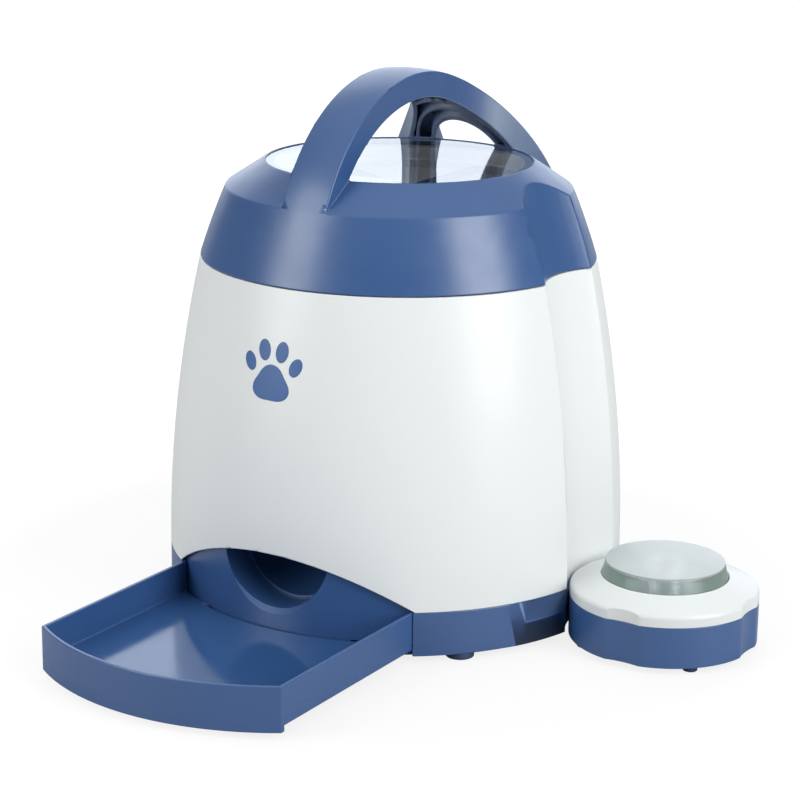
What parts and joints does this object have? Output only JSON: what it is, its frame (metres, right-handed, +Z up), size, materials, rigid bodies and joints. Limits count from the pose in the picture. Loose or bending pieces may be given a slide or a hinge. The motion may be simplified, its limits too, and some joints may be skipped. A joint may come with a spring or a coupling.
{
  "type": "treat dispenser with push-button puck",
  "caption": "Dog treat dispenser: bulged housing on a base, lid with wishbone handle and clear window, catch tray, and a docked push-button puck that triggers the dosing wheel.",
  "frame": {"origin": "floor point under the axis of the main unit", "axes": "+Z up along the main unit's axis, -Y towards the catch tray, +X towards the docked puck"},
  "size_m": [0.3101, 0.3375, 0.2652],
  "materials": {
    "white_shell": "satin moulded",
    "white_inner": "plain moulded",
    "blue_shell": "satin moulded",
    "clear_window": "clear polished",
    "frosted": "frosted",
    "rubber": "matte",
    "steel": "zinc plated",
    "brass": "machined",
    "gear_white": "moulded",
    "plate_grey": "moulded",
    "motor_can": "plated can",
    "board_green": "solder mask",
    "dark_plastic": "moulded",
    "cells": "plain sleeve",
    "led": "clear"
  },
  "bodies": {
    "unit": {"base_pan": "blue_shell", "rubber_feet": "rubber", "casing": "white_shell", "case_screws": "steel", "chute": "blue_shell", "hopper": "white_inner", "dosing_cup": "white_inner", "shaft_bush": "gear_white", "hopper_baffle": "white_inner", "gear_plate": "plate_grey", "gear_motor": "motor_can", "plate_screws": "steel", "motor_screws": "steel", "main_board": "board_green", "board_screws": "steel", "speaker": "dark_plastic", "batteries": "cells", "battery_contacts": "steel", "battery_door": "blue_shell", "door_screw": "steel", "power_switch": "dark_plastic"},
    "lid": {"lid": "blue_shell", "lid_window": "clear_window"},
    "tray": {"tray": "blue_shell"},
    "rotor": {"rotor": "blue_shell", "rotor_shaft": "steel", "drive_gear": "gear_white"},
    "pinion": {"motor_pinion": "brass"},
    "slider": {"switch_slider": "dark_plastic"},
    "remote": {"remote_base": "blue_shell", "remote_ring": "white_shell", "remote_spring": "steel", "remote_board": "board_green", "remote_switch": "dark_plastic", "remote_led": "led", "remote_batteries": "cells", "remote_contacts": "steel", "remote_battery_door": "blue_shell", "remote_screws": "steel", "remote_feet": "rubber"},
    "button": {"remote_button": "frosted"}
  },
  "joints": [
    {"name": "lid_lift", "type": "slide", "parent": "unit", "child": "lid", "axis": [0, 0, 1], "range_m": [0, 0.12]},
    {"name": "tray_slide", "type": "slide", "parent": "unit", "child": "tray", "axis": [0, -1, 0], "range_m": [0, 0.06]},
    {"name": "rotor_spin", "type": "hinge", "parent": "unit", "child": "rotor", "pos_m": [0, 0, 0.1], "axis": [0, 0, 1], "continuous": true},
    {"name": "pinion_spin", "type": "hinge", "parent": "unit", "child": "pinion", "pos_m": [0, 0.032, 0.09], "axis": [0, 0, 1], "continuous": true},
    {"name": "power_slide", "type": "slide", "parent": "unit", "child": "slider", "axis": [1, 0, 0], "range_m": [0, 0.004]},
    {"name": "remote_slide", "type": "slide", "parent": "unit", "child": "remote", "axis": [1, 0, 0], "range_m": [0, 0.15]},
    {"name": "button_press", "type": "slide", "parent": "remote", "child": "button", "axis": [0, 0, -1], "range_m": [0, 0.003], "stiffness_N_per_m": 500, "springref_m": -0.002, "deforming": ["remote_spring"]}
  ],
  "couplings": [
    {"joint": "pinion_spin", "follows": "rotor_spin", "ratio": -3}
  ]
}
